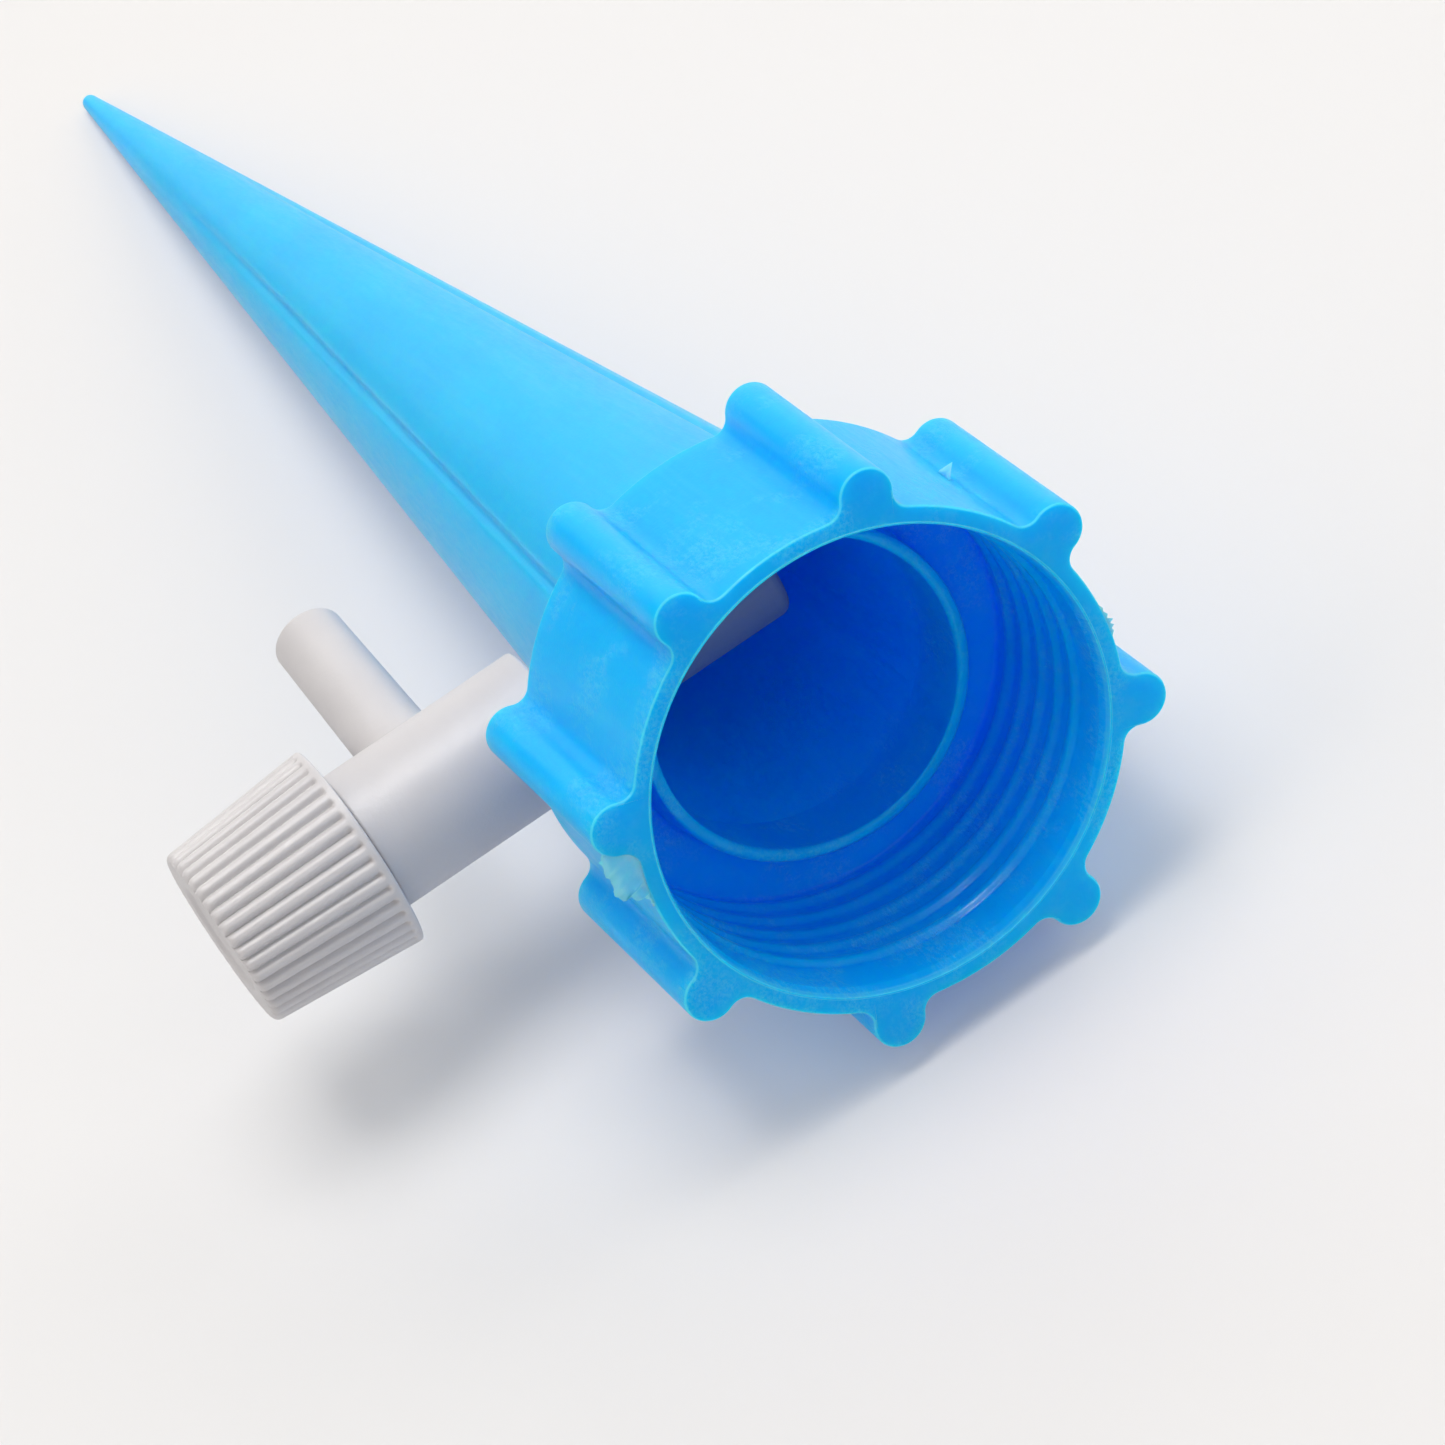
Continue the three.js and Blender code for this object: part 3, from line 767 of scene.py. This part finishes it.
def knob_skin():
    skin = Skin()
    angles = even_angles(FLUTE_COUNT * 16)
    slope = (KNOB_SMALL_RADIUS - KNOB_BIG_RADIUS) / (KNOB_END - KNOB_START - KNOB_BAND)

    def skirt(distance):
        return KNOB_BIG_RADIUS + slope * max(0.0, distance - KNOB_START - KNOB_BAND)

    flutes_from = KNOB_START + KNOB_BAND
    flutes_to = KNOB_END - 0.55
    profile = rounded([
        (KNOB_BORE_RADIUS, KNOB_START + 0.6),
        (KNOB_BORE_RADIUS + 0.3, KNOB_START, 0.15),
        (KNOB_BIG_RADIUS, KNOB_START, 0.12),
        (KNOB_BIG_RADIUS, flutes_from),
    ])
    profile += [(skirt(s), s) for s in flutes_from + np.array([0.06, 0.14, 0.24])]
    profile += [(skirt(s), s) for s in np.linspace(flutes_from + 0.5, flutes_to, 14)]
    profile += rounded([
        (skirt(flutes_to + 0.01), flutes_to + 0.01),
        (skirt(KNOB_END), KNOB_END, 0.45),
        (3.6, KNOB_END, 0.3),
        (3.3, KNOB_END - 0.25, 0.3),
        (1.0, KNOB_END - 0.25),
        (0.6, KNOB_END - 0.12, 0.1),
    ], 5)
    outer = []
    for radius, distance in profile:
        start = smooth_step((distance - flutes_from) / 0.25)
        end = smooth_step((radius - skirt(KNOB_END) + 0.55) / 0.35)
        cut = FLUTE_DEPTH * start * (end if distance > flutes_to else 1) * flute_cut(angles)
        outer.append(skin.loop(about_valve(radius - cut, distance, angles)))
    skin.cap(outer[-1], (VALVE_X, -KNOB_END + 0.12, 0))
    skin.bands(outer)
    inner_profile = rounded([
        (KNOB_BORE_RADIUS, KNOB_START + 0.6),
        (KNOB_BORE_RADIUS, KNOB_BORE_END, 0.3),
        (POCKET_LIP_RADIUS, KNOB_BORE_END, 0.1),
        (POCKET_LIP_RADIUS, POCKET_START, 0.1),
        (POCKET_RADIUS, POCKET_START),
        (POCKET_RADIUS, POCKET_END, 0.2),
        (0.5, POCKET_END),
    ])
    inner = [outer[0]]
    for radius, distance in inner_profile[1:]:
        inner.append(skin.loop(about_valve(radius, distance, angles)))
    skin.bands(inner)
    skin.cap(inner[-1], (VALVE_X, -POCKET_END, 0))
    return skin


make_piece("knob_moulding", knob_skin(), grey, "knob", "knob_plastic", "control_knob")

# ---------------------------------------------------------------- needle and seal

LAND_RADIUS = 1.8
STEM_RADIUS = 1.1
LAND_START = 22.4
LAND_LENGTH = 0.8
GROOVE_LENGTH = 1.6
GROOVE_RADIUS = 0.75
O_RING_RADIUS = 1.55
O_RING_SECTION = 0.5


def needle_skin():
    skin = Skin()
    angles = even_angles(48)
    second = LAND_START + LAND_LENGTH + GROOVE_LENGTH
    profile = rounded([
        (0.05, 13.9),
        (0.3, 13.9, 0.1),
        (1.5, 15.0, 0.2),
        (1.5, 15.6, 0.2),
        (STEM_RADIUS, 16.0, 0.2),
        (STEM_RADIUS, LAND_START, 0.1),
        (LAND_RADIUS, LAND_START, 0.1),
        (LAND_RADIUS, LAND_START + LAND_LENGTH, 0.1),
        (GROOVE_RADIUS, LAND_START + LAND_LENGTH, 0.1),
        (GROOVE_RADIUS, second, 0.1),
        (LAND_RADIUS, second, 0.1),
        (LAND_RADIUS, second + LAND_LENGTH, 0.1),
        (STEM_RADIUS, second + LAND_LENGTH, 0.1),
        (STEM_RADIUS, 31.85, 0.1),
        (1.85, 31.85, 0.1),
        (1.65, 32.6, 0.15),
        (0.05, 32.6),
    ])
    loops = [skin.loop(about_valve(radius, distance, angles)) for radius, distance in profile]
    skin.cap(loops[0], (VALVE_X, -13.9, 0))
    skin.cap(loops[-1], (VALVE_X, -32.6, 0))
    skin.bands(loops)
    return skin


def o_ring_skin():
    skin = Skin()
    angles = even_angles(64)
    middle = LAND_START + LAND_LENGTH + GROOVE_LENGTH / 2
    loops = []
    for turn in even_angles(20):
        radius = O_RING_RADIUS + O_RING_SECTION * math.cos(turn)
        loops.append(skin.loop(about_valve(radius, middle + O_RING_SECTION * math.sin(turn), angles)))
    skin.bands(loops + [loops[0]])
    return skin


make_piece("needle_moulding", needle_skin(), white, "needle", "needle_plastic", "valve_needle")
make_piece("stem_seal", o_ring_skin(), rubber, "needle", "seal_rubber", "stem_o_ring")

# ---------------------------------------------------------------- floor, lights and camera

rib_drop = RIB_CENTRE_RADIUS * math.cos(math.pi / RIB_COUNT) + RIB_HEAD_RADIUS
LOWEST_RIB = np.array([-SOCKET_LENGTH, 0.0, -rib_drop])
LOWEST_TIP = np.array([-SPIKE_LENGTH + TIP_RADIUS, 0.0, -TIP_RADIUS])
FLOOR_TILT = math.atan2(LOWEST_TIP[2] - LOWEST_RIB[2], LOWEST_RIB[0] - LOWEST_TIP[0])


def make_floor():
    """A wide pale table, glowing faintly, under the lowest ribs and the spike's tip."""
    nodes = Nodes("pale_table")
    place = nodes.add("ShaderNodeTexCoord").outputs["Object"]
    clouds = nodes.noise(place, 14.0, 3.0)
    tone = nodes.mix(clouds, linear(209, 208, 208), linear(212, 211, 211))
    nodes.put(nodes.shader, "Base Color", tone)
    nodes.put(nodes.shader, "Roughness", 0.75)
    nodes.put(nodes.shader, "Specular IOR Level", 0.2)
    nodes.put(nodes.shader, "Emission Color", (1.0, 0.99, 0.985, 1.0))
    nodes.put(nodes.shader, "Emission Strength", 0.12)
    mesh = bpy.data.meshes.new("table_top")
    half = 3.0
    corners = [(-half, -half, 0), (half, -half, 0), (half, half, 0), (-half, half, 0)]
    mesh.from_pydata(corners, [], [(0, 1, 2, 3)])
    mesh.materials.append(nodes.material)
    floor = bpy.data.objects.new("table_top", mesh)
    tilt = Matrix.Rotation(FLOOR_TILT, 4, "Y")
    floor.matrix_world = Matrix.Translation(Vector(row_point(LOWEST_RIB))) @ tilt
    bpy.context.scene.collection.objects.link(floor)


def aimed(location, aim, roll=0.0):
    """A matrix at location that looks at aim, with +Z up and then rolled clockwise."""
    turn = (Vector(aim) - Vector(location)).to_track_quat("-Z", "Y").to_matrix().to_4x4()
    return Matrix.Translation(Vector(location)) @ turn @ Matrix.Rotation(-roll, 4, "Z")


def add_light(name, place, aim, size, power, colour):
    data = bpy.data.lights.new(name, "AREA")
    data.shape = "RECTANGLE"
    data.size, data.size_y = size
    data.energy = power
    data.color = colour
    light = bpy.data.objects.new(name, data)
    light.matrix_world = aimed(row_point(place), row_point(aim))
    light.visible_camera = False
    bpy.context.scene.collection.objects.link(light)
    return light


make_floor()
# Wide softboxes light the scene, and two small lamps only add glints.
middle = (-40.0, 0.0, -5.0)
soft_white = (1.0, 0.98, 0.955)
lamp_size = 0.14
for name, place, size, power in [
    ("overhead_softbox", (60.0, 60.0, 1385.0), 0.8, 12.0),
    ("valve_side_softbox", (-120.0, -1018.0, 951.0), 1.4, 6.5),
    ("low_side_softbox", (-406.0, 1284.0, 409.0), 2.0, 14.0),
    ("low_back_softbox", (-1298.0, 274.0, 521.0), 1.4, 6.5),
    ("front_softbox", (1250.0, 60.0, 560.0), 1.4, 4.3),
    ("overhead_lamp", (250.0, -30.0, 1370.0), lamp_size, 14.0),
    ("far_side_lamp", (130.0, 880.0, 1080.0), lamp_size, 14.0),
]:
    light = add_light(name, place, middle, (size, size), power, soft_white)
    light.visible_diffuse = size > lamp_size

world = bpy.data.worlds.new("studio")
world.use_nodes = True
background = world.node_tree.nodes["Background"]
background.inputs["Color"].default_value = (1.0, 0.99, 0.97, 1.0)
background.inputs["Strength"].default_value = 0.2
bpy.context.scene.world = world

# The camera looks down into the socket's mouth, rolled so that the spike's tip is at the upper left.
VIEW_POINT = np.array([-36.206, 0.0, -13.736])
VIEW_BEARING = math.radians(-10.707)
VIEW_ELEVATION = math.radians(30.6095)
VIEW_ROLL = math.radians(28.738)
VIEW_DISTANCE = 367.68


def add_camera():
    level = math.cos(VIEW_ELEVATION)
    towards = [level * math.cos(VIEW_BEARING), level * math.sin(VIEW_BEARING), math.sin(VIEW_ELEVATION)]
    place = VIEW_POINT + VIEW_DISTANCE * np.array(towards)
    data = bpy.data.cameras.new("camera")
    data.lens = 149.0
    data.sensor_width = 36.0
    data.clip_start = 0.01
    data.clip_end = 20.0
    camera = bpy.data.objects.new("camera", data)
    camera.matrix_world = aimed(row_point(place), row_point(VIEW_POINT), VIEW_ROLL)
    bpy.context.scene.collection.objects.link(camera)
    bpy.context.scene.camera = camera


add_camera()
bpy.context.scene.view_settings.view_transform = "Standard"
bpy.context.scene.cycles.max_bounces = 16
bpy.context.scene.cycles.diffuse_bounces = 10
